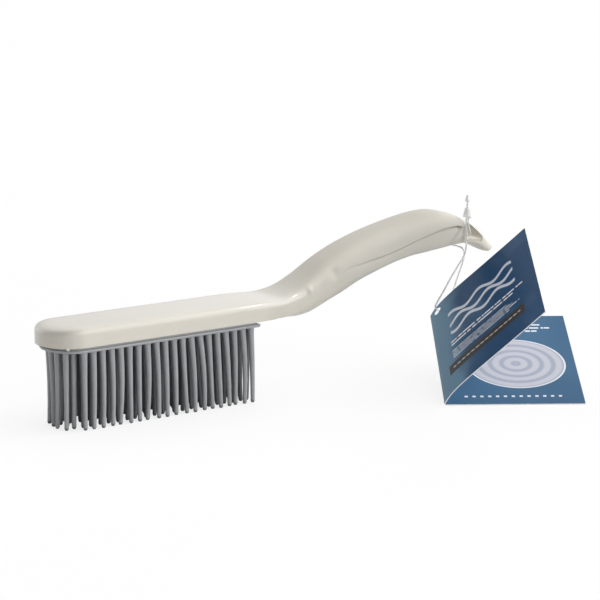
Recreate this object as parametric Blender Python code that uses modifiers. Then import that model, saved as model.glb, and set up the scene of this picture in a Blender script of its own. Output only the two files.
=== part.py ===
"""Rubber-fingered hand brush with a curved handle, and the folded swing tag that hangs from its eye.

Metres, +Z up. The brush stands on its finger tips at z = 0, with +X from the nose to the handle's tail
and the origin under the middle of the brush.
"""

import math

import bmesh
import bpy
import numpy as np
from mathutils import Matrix, Vector

MM = 0.001

# Overall sizes
OVERALL_LENGTH = 283 * MM
GAP = 0.3 * MM
OVERRUN = 2 * MM
FIT_OVERLAP = 0.6 * MM

# Rubber fingers and the pad that carries them
FINGER_LENGTH = 38.8 * MM
FINGER_ROOT_DIAMETER = 3.2 * MM
FINGER_TIP_DIAMETER = 2.3 * MM
FINGER_PITCH = 5.14 * MM
FINGER_ROWS = 6
FINGER_ROW_SPACING = 5.5 * MM
FINGER_BEND = 0.9 * MM
FINGER_START = 1.1 * MM
FINGER_EDGE = 3.3 * MM
FINGER_NOSE_EDGE = 5 * MM
FLANGE_THICKNESS = 1.4 * MM
FLANGE_INSET = 0.8 * MM
FLANGE_CHAMFER = 0.5 * MM
GROOVE_HEIGHT = 1.1 * MM
GROOVE_DEPTH = 1.2 * MM
PLUG_HEIGHT = 3.8 * MM
PAD_LENGTH = 119.8 * MM
PAD_REAR_RADIUS = 1.6 * MM

# Head of the body
HEAD_WIDTH = 34.6 * MM
HEAD_HEIGHT = 9.7 * MM
NOSE_LENGTH = 16.2 * MM
NOSE_POWER = 2.0
HEAD_EDGE_POWER = 6.0
WALL = 2.3 * MM
ROOF = 2.6 * MM
RIB_THICKNESS = 1.4 * MM
RIB_COUNT = 5
TOOTH_LENGTH = 2.2 * MM
TOOTH_DEPTH = 1.0 * MM
TOOTH_THICKNESS = 1.1 * MM
TOOTH_X = 7.6 * MM

# Handle
HANDLE_RISE = 43.4 * MM
GRIP_WIDTH = 22.4 * MM
BORE_WIDTH = 12.4 * MM
LIP_DEPTH = 2.5 * MM
EYE_RADIUS = 1.8 * MM

# Nylon loop
FILAMENT_DIAMETER = 0.9 * MM
SOCKET_TOP_DIAMETER = 2.7 * MM
SOCKET_DIAMETER = 4.9 * MM
SOCKET_HEIGHT = 5.6 * MM
SOCKET_FOOT_DIAMETER = 3.4 * MM
PIN_NECK_DIAMETER = 1.3 * MM
PIN_BARB_DIAMETER = 2.8 * MM
PIN_HEAD_LENGTH = 3.6 * MM
PIN_NECK_LENGTH = 3.0 * MM
SOCKET_PLACE = Vector((115.9, -10.5, 79.6)) * MM

# Swing tag
TAG_WIDTH = 71 * MM
TAG_HEIGHT = 94.6 * MM
CARD_THICKNESS = 0.5 * MM
TAG_HOLE_DIAMETER = 5.0 * MM
TAG_HOLE_FROM_SPINE = 6.5 * MM
TAG_HOLE_FROM_TOP = 5.2 * MM
TAG_FOOT = Vector((47.7, -76.9, 0.6)) * MM
COVER_ARCH = 2.0 * MM
TAG_TURN = math.radians(34.2)
TAG_TILT = math.radians(15.9)
TAG_OPENING = math.radians(47.3)

# Worked out from the sizes above
NOSE_X = -OVERALL_LENGTH / 2
FLANGE_TOP = FINGER_LENGTH + FLANGE_THICKNESS
PAD_SEAT = FLANGE_TOP + GROOVE_HEIGHT
RIM_Z = PAD_SEAT + GAP
HEAD_TOP = RIM_Z + HEAD_HEIGHT
POCKET_TOP = HEAD_TOP - ROOF
PLUG_TOP = PAD_SEAT + PLUG_HEIGHT
TAG_UP = Vector(
    (math.cos(TAG_TILT) * math.sin(TAG_TURN), math.cos(TAG_TILT) * math.cos(TAG_TURN), math.sin(TAG_TILT))
)
TAG_ACROSS = Vector((math.cos(TAG_TURN), -math.sin(TAG_TURN), 0))

# Handle stations from nose to tail: place along the brush as a share of its length, then the heights of the
# top, of the widest line and of the bottom as shares of the handle's rise above the rim, then the half-width
# as a share of half the grip's width, then how much of the head's own height and width is added, then the
# power of the section's upper and lower half.
STATION_SHARES = [
    (0.057, 0.000, 0.000, 0.000, 0.000, 1.00, 6.0, 2.0),
    (0.250, 0.000, 0.000, 0.000, 0.000, 1.00, 6.0, 2.0),
    (0.400, 0.000, 0.000, 0.000, 0.000, 1.00, 6.0, 2.0),
    (0.445, 0.020, 0.000, 0.000, 0.046, 0.93, 5.4, 2.0),
    (0.480, 0.088, 0.016, -0.035, 0.232, 0.74, 4.6, 2.2),
    (0.512, 0.238, 0.060, -0.055, 0.504, 0.46, 3.8, 2.6),
    (0.545, 0.398, 0.165, -0.022, 0.789, 0.20, 3.2, 3.0),
    (0.580, 0.556, 0.290, 0.070, 0.934, 0.06, 2.9, 3.2),
    (0.620, 0.695, 0.435, 0.170, 0.990, 0.00, 2.7, 3.2),
    (0.660, 0.792, 0.495, 0.270, 0.990, 0.00, 2.6, 3.2),
    (0.700, 0.865, 0.540, 0.352, 1.000, 0.00, 2.5, 3.2),
    (0.740, 0.921, 0.597, 0.425, 1.000, 0.00, 2.5, 3.2),
    (0.780, 0.966, 0.668, 0.475, 1.020, 0.00, 2.5, 3.2),
    (0.815, 0.994, 0.730, 0.502, 1.020, 0.00, 2.5, 3.2),
    (0.845, 0.997, 0.775, 0.520, 1.000, 0.00, 2.5, 3.2),
    (0.870, 0.964, 0.790, 0.532, 0.950, 0.00, 2.5, 3.2),
    (0.895, 0.904, 0.770, 0.541, 0.880, 0.00, 2.5, 3.2),
    (0.918, 0.838, 0.700, 0.537, 0.800, 0.00, 2.6, 3.0),
    (0.935, 0.780, 0.640, 0.512, 0.730, 0.00, 2.6, 3.0),
    (0.955, 0.698, 0.565, 0.462, 0.620, 0.00, 2.6, 2.8),
    (0.975, 0.590, 0.480, 0.398, 0.460, 0.00, 2.5, 2.6),
    (0.990, 0.495, 0.430, 0.370, 0.280, 0.00, 2.3, 2.3),
]
TAIL_POINT_SHARES = (1.0, 0.425)

# Where the hollow and the recesses begin and end, as shares of the brush's length.
BORE_SHARES = (0.389, 0.873)
LIP_SHARES = (0.622, 0.906)

# The corners of the hanging eye before they are rounded, as shares of the brush's length and of the handle's
# rise.
EYE_CORNER_SHARES = [(0.9155, 0.576), (0.9735, 0.516), (0.9155, 0.848)]

# Where the loop hangs on the eye's floor, as shares of the brush's length and of the handle's rise.
LOOP_PIVOT_SHARES = (0.9198, 0.6336)

# The recess line under the lip: place along the recess and height, as shares of the recess's length and of
# the handle's rise.
LIP_LINE_SHARES = [
    (-0.05, 0.430),
    (0.00, 0.450),
    (0.12, 0.486),
    (0.21, 0.520),
    (0.30, 0.547),
    (0.41, 0.593),
    (0.53, 0.657),
    (0.66, 0.721),
    (0.79, 0.778),
    (0.86, 0.790),
    (0.92, 0.790),
    (0.97, 0.775),
    (1.00, 0.747),
]
LIP_FOOT_SHARES = (0.82, 0.480)

# How far the cover bulges across its width, as shares of the width and of the arch.
COVER_CURVE_SHARES = [
    (0.00, 0.00),
    (0.03, 0.35),
    (0.07, 0.68),
    (0.12, 0.90),
    (0.20, 1.00),
    (0.30, 0.95),
    (0.42, 0.78),
    (0.55, 0.57),
    (0.70, 0.35),
    (0.85, 0.15),
    (1.00, 0.00),
]

# The loop's middle line, from its first end in the socket down to the tag, through the card's hole and back
# up, under the tail, through the eye and into the socket again.
LOOP_POINTS = [
    (115.20, -10.5, 79.3),
    (115.20, -10.5, 76.5),
    (115.40, -10.5, 71.5),
    (115.50, -10.5, 66.0),
    (114.50, -10.5, 60.5),
    (110.10, -10.5, 54.7),
    (105.10, -10.4, 48.4),
    (101.00, -10.2, 42.6),
    (97.40, -9.2, 36.6),
    (96.90, -7.8, 34.0),
    (97.60, -7.2, 32.2),
    (98.80, -7.6, 31.1),
    (100.20, -8.2, 30.0),
    (101.60, -8.8, 29.9),
    (102.60, -8.9, 31.6),
    (103.90, -8.7, 34.4),
    (105.80, -8.8, 37.2),
    (108.40, -9.0, 41.7),
    (110.30, -9.0, 46.7),
    (114.00, -9.2, 55.2),
    (115.80, -8.6, 59.6),
    (116.60, -6.0, 62.4),
    (117.00, 0.0, 63.0),
    (117.20, 6.0, 63.0),
    (117.60, 9.2, 63.9),
    (118.30, 10.4, 66.2),
    (118.70, 9.2, 68.5),
    (118.80, 6.0, 69.1),
    (118.80, 0.0, 69.1),
    (118.80, -6.0, 69.1),
    (118.60, -9.4, 69.9),
    (117.80, -10.6, 72.2),
    (116.90, -10.6, 75.4),
    (116.60, -10.5, 77.4),
    (116.60, -10.5, 79.3),
]
LOOP_SAMPLES = 76

OUTLINE_POINTS = 40
SECTION_POINTS = 13
FINGER_SIDES = 4
FINGER_RINGS = 5


def material(name, colour, roughness, transmission=0.0):
    """A plain plastic, rubber or card finish."""
    made = bpy.data.materials.new(name)
    made.use_nodes = True
    shader = made.node_tree.nodes["Principled BSDF"]
    shader.inputs["Base Color"].default_value = (*colour, 1)
    shader.inputs["Roughness"].default_value = roughness
    shader.inputs["Metallic"].default_value = 0.0
    shader.inputs["Transmission Weight"].default_value = transmission
    made.diffuse_color = (*colour, 1)
    return made


def collection(name):
    made = bpy.data.collections.new(name)
    bpy.context.scene.collection.children.link(made)
    return made


def object_of(name, mesh_data, where, finish=None, smooth_angle=None):
    """A mesh object in a collection, with its material and shading."""
    made = bpy.data.objects.new(name, mesh_data)
    where.objects.link(made)
    if finish is not None:
        made.data.materials.append(finish)
    if smooth_angle is not None:
        made.data.shade_smooth()
        made.data.set_sharp_from_angle(angle=smooth_angle)
    return made


def mesh_of(name, bm):
    """The bmesh as mesh data, with its faces outwards."""
    bmesh.ops.recalc_face_normals(bm, faces=bm.faces)
    data = bpy.data.meshes.new(name)
    bm.to_mesh(data)
    bm.free()
    return data


def as_cutter(made):
    made.hide_render = True
    made.display_type = "WIRE"
    return made


def boolean(target, cutter, operation, solver="EXACT"):
    step = target.modifiers.new(cutter.name, "BOOLEAN")
    step.operation = operation
    step.solver = solver
    step.object = cutter


def loft(rings, name, start_point=None, end_point=None):
    """A closed skin over rings of equally many points, with a flat or a pointed end at each side."""
    bm = bmesh.new()
    loops = [[bm.verts.new(point) for point in ring] for ring in rings]
    count = len(loops[0])
    for a, b in zip(loops, loops[1:]):
        for i in range(count):
            j = (i + 1) % count
            bm.faces.new((a[i], a[j], b[j], b[i]))
    for loop, point in ((loops[0], start_point), (loops[-1], end_point)):
        if point is None:
            bm.faces.new(loop)
            continue
        tip = bm.verts.new(point)
        for i in range(count):
            bm.faces.new((loop[i], loop[(i + 1) % count], tip))
    bmesh.ops.triangulate(bm, faces=[f for f in bm.faces if len(f.verts) > 4])
    return mesh_of(name, bm)


def smooth_table(rows, at):
    """The columns of a table at a first-column value, on a smooth curve with no overshoot."""
    table = np.array(rows, float)
    x = table[:, 0]
    at = min(max(at, x[0]), x[-1])
    i = int(min(max(np.searchsorted(x, at) - 1, 0), len(x) - 2))
    step = np.diff(x)
    slopes = np.diff(table, axis=0) / step[:, None]
    inner = np.where(slopes[:-1] * slopes[1:] > 0, (slopes[:-1] + slopes[1:]) / 2, 0)
    limit = 2.5 * np.minimum(np.abs(slopes[:-1]), np.abs(slopes[1:]))
    inner = np.clip(inner, -limit, limit)
    tangents = np.vstack([slopes[:1], inner, slopes[-1:]])
    h = step[i]
    t = (at - x[i]) / h
    return (
        table[i] * (2 * t**3 - 3 * t**2 + 1)
        + tangents[i] * h * (t**3 - 2 * t**2 + t)
        + table[i + 1] * (3 * t**2 - 2 * t**3)
        + tangents[i + 1] * h * (t**3 - t**2)
    )


def handle_at(along):
    """Top, widest line, bottom, half-width and the two section powers at a distance from the nose."""
    row = smooth_table(STATION_SHARES, along / OVERALL_LENGTH)
    head = row[5]
    top, middle, bottom = (RIM_Z + share * HANDLE_RISE for share in row[1:4])
    half = (row[4] * GRIP_WIDTH + head * HEAD_WIDTH) / 2
    return top + head * HEAD_HEIGHT, middle, bottom, half, row[6], row[7]


def signed_power(value, power):
    return math.copysign(abs(value) ** power, value)


def section(along, top, middle, bottom, half, upper_power, lower_power):
    """One closed ring across the body at a distance from the nose."""
    ring = []
    for i in range(4 * (SECTION_POINTS - 1)):
        angle = i * math.tau / (4 * (SECTION_POINTS - 1))
        power = upper_power if angle <= math.pi else lower_power
        height = top - middle if angle <= math.pi else middle - bottom
        y = half * signed_power(math.cos(angle), 2 / power)
        z = middle + height * signed_power(math.sin(angle), 2 / power)
        ring.append((NOSE_X + along, y, z))
    return ring


def nose_section(share):
    """A ring across the rounded nose, where share runs from 1 at the tip to 0 where the sides run straight."""
    half = HEAD_WIDTH / 2 * (1 - share**NOSE_POWER) ** (1 / NOSE_POWER)
    ring = []
    for i in range(4 * (SECTION_POINTS - 1)):
        angle = i * math.tau / (4 * (SECTION_POINTS - 1))
        y = half * signed_power(math.cos(angle), 2 / HEAD_EDGE_POWER)
        out = min(1.0, (share**NOSE_POWER + abs(2 * y / HEAD_WIDTH) ** NOSE_POWER) ** (1 / NOSE_POWER))
        rise = HEAD_HEIGHT * (1 - out**HEAD_EDGE_POWER) ** (1 / HEAD_EDGE_POWER)
        ring.append((NOSE_X + NOSE_LENGTH * (1 - share), y, RIM_Z + (rise if angle < math.pi else 0)))
    return ring


def outline(inset, rear, corner, count=OUTLINE_POINTS):
    """The head's plan outline, drawn in by inset, from a rounded nose to a square rear end."""
    half = HEAD_WIDTH / 2 - inset
    length = NOSE_LENGTH - inset
    points = []
    for i in range(count + 1):
        angle = math.pi / 2 + i * math.pi / count
        x = NOSE_LENGTH + length * signed_power(math.cos(angle), 2 / NOSE_POWER)
        points.append((NOSE_X + x, half * signed_power(math.sin(angle), 2 / NOSE_POWER)))
    for side in (-1, 1):
        for i in range(5):
            turn = i * math.pi / 8 if side < 0 else math.pi / 2 - i * math.pi / 8
            x = rear - corner + corner * math.sin(turn)
            points.append((NOSE_X + x, side * (half - corner + corner * math.cos(turn))))
    return points


def outline_half_width(along, inset):
    """How far the drawn-in outline reaches to each side at a distance from the nose."""
    share = min(1.0, max(0.0, (NOSE_LENGTH - along) / (NOSE_LENGTH - inset)))
    return (HEAD_WIDTH / 2 - inset) * (1 - share**NOSE_POWER) ** (1 / NOSE_POWER)


def stacked_outlines(levels, rear, corner, name):
    """A solid with vertical walls from (height, inset) levels of the head's outline."""
    rings = [[(x, y, height) for x, y in outline(inset, rear - inset, corner)] for height, inset in levels]
    return loft(rings, name)


def body_skin():
    """The outside of the head and handle as one loft."""
    rings = [nose_section(math.cos(i * math.pi / 24)) for i in range(1, 12)]
    bend = BORE_SHARES[0] * OVERALL_LENGTH
    last = STATION_SHARES[-1][0] * OVERALL_LENGTH
    straight = [NOSE_LENGTH + (bend - NOSE_LENGTH) * i / 6 for i in range(7)]
    curved = [bend + (last - bend) * i / 46 for i in range(1, 47)]
    rings += [section(along, *handle_at(along)) for along in straight + curved]
    nose = (NOSE_X, 0, RIM_Z)
    tail = (NOSE_X + TAIL_POINT_SHARES[0] * OVERALL_LENGTH, 0, RIM_Z + TAIL_POINT_SHARES[1] * HANDLE_RISE)
    return loft(rings, "brush_body", nose, tail)


def bore_skin():
    """The hollow of the handle, which opens into the pocket of the head."""
    steps = 22
    rings = []
    for i in range(steps + 1):
        along = OVERALL_LENGTH * (BORE_SHARES[0] + (BORE_SHARES[1] - BORE_SHARES[0]) * i / steps)
        top, middle, bottom, half, _, _ = handle_at(along)
        closing = math.sqrt(max(0.0, 1 - (i / steps) ** 8))
        high = (top - bottom - WALL - ROOF) / 2 * max(closing, 0.2)
        centre = (top - ROOF + bottom + WALL) / 2
        wide = min(BORE_WIDTH / 2, half - WALL) * max(closing, 0.2)
        rings.append(section(along, centre + high, centre, centre - high, wide, 2.6, 2.6))
    return loft(rings, "handle_bore")


def extruded(points, low, high, name, slant=0.0):
    """A side-view outline of (x, z) points made solid between two y planes. Slant moves the low plane in y
    by that much along the outline's length."""
    first = min(x for x, _ in points)
    length = max(x for x, _ in points) - first
    rings = [
        [(x, low + slant * (x - first) / length, z) for x, z in points],
        [(x, high, z) for x, z in points],
    ]
    return loft(rings, name)


def lip_point(x_share, z_share):
    start, end = LIP_SHARES
    return NOSE_X + OVERALL_LENGTH * (start + x_share * (end - start)), RIM_Z + z_share * HANDLE_RISE


def recess_cutter(side, where):
    """The flat grip panel under the lip: no depth where the lip starts, full depth at its rear end."""
    line = [lip_point(*shares) for shares in LIP_LINE_SHARES]
    points = line + [lip_point(*LIP_FOOT_SHARES), (line[0][0], RIM_Z)]
    half = GRIP_WIDTH / 2
    low = side * half
    slant = -side * LIP_DEPTH
    made = object_of(
        f"recess_{'far' if side > 0 else 'near'}",
        extruded(points, low, side * (half + OVERRUN), "recess", slant),
        where,
    )
    return as_cutter(made)


def eye_cutter(where):
    """The hanging eye, a three-cornered hole through the tail from side to side."""
    corners = [
        Vector((NOSE_X + x_share * OVERALL_LENGTH, RIM_Z + z_share * HANDLE_RISE))
        for x_share, z_share in EYE_CORNER_SHARES
    ]
    points = []
    for i, corner in enumerate(corners):
        before = (corners[i - 1] - corner).normalized()
        after = (corners[(i + 1) % 3] - corner).normalized()
        half_angle = before.angle(after) / 2
        reach = EYE_RADIUS / math.tan(half_angle)
        centre = corner + (before + after).normalized() * (EYE_RADIUS / math.sin(half_angle))
        start = corner + before * reach - centre
        turn = math.pi - 2 * half_angle
        for j in range(7):
            spoke = Matrix.Rotation(turn * j / 6, 2) @ start
            points.append(tuple(centre + spoke))
    made = object_of("eye", extruded(points, -GRIP_WIDTH, GRIP_WIDTH, "eye"), where)
    return as_cutter(made)


def pocket_cutter(where):
    levels = [(RIM_Z - OVERRUN, WALL), (POCKET_TOP, WALL)]
    return as_cutter(object_of("pocket", stacked_outlines(levels, PAD_LENGTH, PAD_REAR_RADIUS, "pocket"), where))


def box(name, size, centre, where):
    bm = bmesh.new()
    bmesh.ops.create_cube(bm, size=1.0, matrix=Matrix.Translation(centre) @ Matrix.Diagonal((*size, 1)))
    return object_of(name, mesh_of(name, bm), where)


def rib(index, where):
    """A cross rib under the roof of the head, which the pad's plug rests against."""
    height = POCKET_TOP - PLUG_TOP - GAP + FIT_OVERLAP
    along = NOSE_LENGTH + (PAD_LENGTH - NOSE_LENGTH) * index / RIB_COUNT
    size = (RIB_THICKNESS, HEAD_WIDTH - WALL, height)
    return as_cutter(box(f"rib_{index}", size, (NOSE_X + along, 0, PLUG_TOP + GAP + height / 2), where))


def tooth(side, where):
    """A small hook under the rim beside the nose, which keeps the pad's flange in place."""
    half = outline_half_width(TOOTH_X, 0)
    size = (TOOTH_LENGTH, TOOTH_THICKNESS, TOOTH_DEPTH + FIT_OVERLAP)
    centre = (
        NOSE_X + TOOTH_X,
        side * (half - TOOTH_THICKNESS / 2 - FLANGE_INSET / 2),
        RIM_Z - TOOTH_DEPTH + size[2] / 2,
    )
    return as_cutter(box(f"tooth_{'far' if side > 0 else 'near'}", size, centre, where))


def make_body(parts, cutters, finish):
    body = object_of("brush_body", body_skin(), parts, finish, math.radians(40))
    boolean(body, as_cutter(object_of("handle_bore", bore_skin(), cutters)), "DIFFERENCE")
    boolean(body, pocket_cutter(cutters), "DIFFERENCE")
    boolean(body, eye_cutter(cutters), "DIFFERENCE")
    for side in (-1, 1):
        # The panel leaves the grip at a tangent, where only the manifold solver cuts cleanly.
        boolean(body, recess_cutter(side, cutters), "DIFFERENCE", "MANIFOLD")
    for side in (-1, 1):
        boolean(body, tooth(side, cutters), "UNION")
    for index in range(1, RIB_COUNT):
        boolean(body, rib(index, cutters), "UNION")
    return body


def finger_places():
    """Staggered rows of fingers, kept where they stand inside the pad's edge."""
    places = []
    columns = int(PAD_LENGTH / FINGER_PITCH) + 1
    for row in range(FINGER_ROWS):
        y = (row - (FINGER_ROWS - 1) / 2) * FINGER_ROW_SPACING
        shift = FINGER_PITCH / 2 if row % 2 else 0
        for column in range(columns):
            along = FINGER_START + shift + column * FINGER_PITCH
            inside = abs(y) <= outline_half_width(along, FINGER_EDGE) + FIT_OVERLAP
            if inside and FINGER_NOSE_EDGE < along < PAD_LENGTH - FINGER_EDGE + FIT_OVERLAP:
                places.append((along, y, row, column))
    return places


def finger_ring(centre, diameter, z):
    corners = [i * math.tau / FINGER_SIDES + math.pi / FINGER_SIDES for i in range(FINGER_SIDES)]
    radius = diameter / 2
    return [(centre[0] + radius * math.cos(a), centre[1] + radius * math.sin(a), z) for a in corners]


def fingers_mesh():
    """Every finger as a tapered, slightly bent strand, cut flat at its tip."""
    bm = bmesh.new()
    for along, y, row, column in finger_places():
        lean = math.sin(2.4 * column + 1.7 * row)
        sway = math.cos(1.9 * column + 2.6 * row)
        rings = []
        for i in range(FINGER_RINGS + 1):
            t = i / FINGER_RINGS
            bend = FINGER_BEND * t**1.6
            centre = (NOSE_X + along + bend * lean, y + bend * sway)
            diameter = FINGER_ROOT_DIAMETER + (FINGER_TIP_DIAMETER - FINGER_ROOT_DIAMETER) * t
            z = (FINGER_LENGTH + FIT_OVERLAP) * (1 - t)
            rings.append([bm.verts.new(p) for p in finger_ring(centre, diameter, z)])
        bm.faces.new(rings[0])
        bm.faces.new(list(reversed(rings[-1])))
        for a, b in zip(rings, rings[1:]):
            for i in range(FINGER_SIDES):
                j = (i + 1) % FINGER_SIDES
                bm.faces.new((a[i], b[i], b[j], a[j]))
    return mesh_of("fingers", bm)


def make_pad(parts, cutters, finish):
    """The rubber moulding: a grooved flange, the plug that enters the head, and the fingers."""
    groove = FLANGE_INSET + GROOVE_DEPTH
    plug = WALL + GAP
    levels = [
        (FINGER_LENGTH, FLANGE_INSET + FLANGE_CHAMFER),
        (FINGER_LENGTH + FLANGE_CHAMFER, FLANGE_INSET),
        (FLANGE_TOP, FLANGE_INSET),
        (FLANGE_TOP + GAP, groove),
        (PAD_SEAT, groove),
        (PAD_SEAT + GAP, plug),
        (PLUG_TOP, plug),
    ]
    pad = object_of("rubber_pad", stacked_outlines(levels, PAD_LENGTH, PAD_REAR_RADIUS, "rubber_pad"), parts, finish)
    boolean(pad, as_cutter(object_of("fingers", fingers_mesh(), cutters)), "UNION")
    return pad


def smooth_path(points, samples):
    """Evenly spaced points on a smooth curve through the given ones."""
    fixed = np.array(points, float)
    padded = np.vstack([2 * fixed[0] - fixed[1], fixed, 2 * fixed[-1] - fixed[-2]])
    dense = []
    for a, b, c, d in zip(padded, padded[1:], padded[2:], padded[3:]):
        for t in np.linspace(0, 1, 24, endpoint=False):
            dense.append(
                0.5 * (2 * b + (c - a) * t + (2 * a - 5 * b + 4 * c - d) * t**2 + (3 * b - 3 * c + d - a) * t**3)
            )
    dense = np.array(dense + [fixed[-1]])
    run = np.concatenate([[0], np.cumsum(np.linalg.norm(np.diff(dense, axis=0), axis=1))])
    return [tuple(np.interp(s, run, dense[:, i]) for i in range(3)) for s in np.linspace(0, run[-1], samples)]


def make_loop(parts, finish):
    """The nylon filament as one tube along its route."""
    path = smooth_path([tuple(c * MM for c in point) for point in LOOP_POINTS], LOOP_SAMPLES)
    curve = bpy.data.curves.new("hang_loop", "CURVE")
    curve.dimensions = "3D"
    curve.bevel_depth = FILAMENT_DIAMETER / 2
    curve.bevel_resolution = 2
    curve.use_fill_caps = True
    spline = curve.splines.new("POLY")
    spline.points.add(len(path) - 1)
    for point, place in zip(spline.points, path):
        point.co = (*place, 1)
    curve.materials.append(finish)
    made = bpy.data.objects.new("hang_loop", curve)
    parts.objects.link(made)
    return made


def turned(name, profile, place, parts, finish):
    """A turned solid from (radius, height) points, listed from top to bottom."""
    bm = bmesh.new()
    verts = [bm.verts.new((radius, 0, height)) for radius, height in profile]
    for a, b in zip(verts, verts[1:]):
        bm.edges.new((a, b))
    data = bpy.data.meshes.new(name)
    bm.to_mesh(data)
    bm.free()
    made = object_of(name, data, parts, finish)
    made.location = place
    screw = made.modifiers.new("turn", "SCREW")
    screw.steps = 20
    screw.render_steps = 20
    screw.use_merge_vertices = True
    screw.merge_threshold = 0.00001
    return made


def make_fastener(parts, finish):
    """The loop's tapered socket, and the barbed pin that stands out of its top."""
    socket_profile = [
        (0, SOCKET_HEIGHT),
        (SOCKET_TOP_DIAMETER / 2, SOCKET_HEIGHT),
        (SOCKET_DIAMETER / 2, SOCKET_HEIGHT / 6),
        (SOCKET_FOOT_DIAMETER / 2, 0),
        (0, 0),
    ]
    socket = turned("loop_socket", socket_profile, SOCKET_PLACE, parts, finish)
    neck = PIN_NECK_DIAMETER / 2
    pin_profile = [
        (0, PIN_NECK_LENGTH + PIN_HEAD_LENGTH),
        (neck / 2, PIN_NECK_LENGTH + PIN_HEAD_LENGTH),
        (PIN_BARB_DIAMETER / 2, PIN_NECK_LENGTH + PIN_HEAD_LENGTH / 5),
        (PIN_BARB_DIAMETER / 2, PIN_NECK_LENGTH),
        (neck, PIN_NECK_LENGTH),
        (neck, 0),
        (0, 0),
    ]
    place = SOCKET_PLACE + Vector((0, 0, SOCKET_HEIGHT + GAP))
    return socket, turned("loop_pin", pin_profile, place, parts, finish)


def leaf_frame(opening):
    """The leaf's own axes at the foot of the crease: across, up, and out of its outer face."""
    flat = TAG_ACROSS.cross(TAG_UP)
    across = math.cos(opening) * TAG_ACROSS + math.sin(opening) * flat
    return across, TAG_UP, across.cross(TAG_UP)


def make_leaf(name, opening, outer_side, arch, parts, finish):
    """One leaf of the folded card, with its inner face through the crease and its bulge outwards."""
    width = TAG_WIDTH - GAP / 2
    line = [(GAP / 2 + share * width, bulge * arch) for share, bulge in COVER_CURVE_SHARES]
    inner = [(w, outer_side * out) for w, out in line]
    outer = [(w, outer_side * (out + CARD_THICKNESS)) for w, out in reversed(line)]
    rings = [[(w, height, out) for w, out in inner + outer] for height in (0, TAG_HEIGHT)]
    across, up, out = leaf_frame(opening)
    leaf = object_of(name, loft(rings, name), parts, finish)
    turn = Matrix((across, up, out)).transposed().to_4x4()
    turn.translation = TAG_FOOT
    leaf.matrix_world = turn
    return leaf


def punch_hole(leaf, cutters):
    """The round hole near the top of the crease that the loop passes through."""
    bm = bmesh.new()
    bmesh.ops.create_cone(
        bm,
        cap_ends=True,
        segments=32,
        radius1=TAG_HOLE_DIAMETER / 2,
        radius2=TAG_HOLE_DIAMETER / 2,
        depth=OVERRUN * 2 + COVER_ARCH * 2,
        matrix=Matrix.Translation((TAG_HOLE_FROM_SPINE, TAG_HEIGHT - TAG_HOLE_FROM_TOP, 0)),
    )
    punch = as_cutter(object_of("punch", mesh_of("punch", bm), cutters))
    punch.matrix_world = leaf.matrix_world
    boolean(leaf, punch, "DIFFERENCE")


def pivot(name, place, parent, parts):
    """An empty on a joint's axis, which carries the pieces that turn about it."""
    made = bpy.data.objects.new(name, None)
    made.empty_display_size = SOCKET_HEIGHT
    parts.objects.link(made)
    made.matrix_world = Matrix.Translation(place)
    if parent is not None:
        hang_on(made, parent)
    return made


def hang_on(child, parent):
    """Parenting that leaves the child where it is."""
    child.parent = parent
    child.matrix_parent_inverse = parent.matrix_world.inverted()


def main():
    for old in list(bpy.data.objects):
        bpy.data.objects.remove(old)
    parts = collection("rubber_brush")
    cutters = collection("cutters")
    cream = material("cream_plastic", (0.67, 0.64, 0.57), 0.25)
    rubber = material("grey_rubber", (0.19, 0.195, 0.20), 0.55)
    nylon = material("clear_nylon", (0.86, 0.87, 0.86), 0.35, 0.4)
    card = material("blue_card", (0.04, 0.13, 0.24), 0.4)
    make_body(parts, cutters, cream)
    make_pad(parts, cutters, rubber)
    loop = [make_loop(parts, nylon), *make_fastener(parts, nylon)]
    cover = make_leaf("tag_cover", TAG_OPENING, 1, COVER_ARCH, parts, card)
    punch_hole(cover, cutters)
    back = make_leaf("tag_back", 0.0, -1, 0.0, parts, card)
    bpy.context.view_layer.update()
    along, up = LOOP_PIVOT_SHARES
    loop_pivot = Vector((NOSE_X + along * OVERALL_LENGTH, 0, RIM_Z + up * HANDLE_RISE))
    eye = pivot("eye_pivot", loop_pivot, None, parts)
    hole_place = Vector((TAG_HOLE_FROM_SPINE, TAG_HEIGHT - TAG_HOLE_FROM_TOP, 0))
    bpy.context.view_layer.update()
    hole = pivot("tag_pivot", cover.matrix_world @ hole_place, eye, parts)
    bpy.context.view_layer.update()
    for piece in loop:
        hang_on(piece, eye)
    hang_on(cover, hole)
    bpy.context.view_layer.update()
    hang_on(back, cover)


main()
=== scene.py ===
# %% [markdown]
# The looks of a rubber brush
#
# A hand brush with rubber fingers stands on its finger tips, and a folded swing tag hangs from its eye on a
# nylon loop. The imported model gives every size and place. Each piece is modelled here inside the space that
# the model gives it, and rides on the body that carries it.

import math

import bmesh
import bpy
import numpy as np
from mathutils import Matrix, Vector


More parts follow.
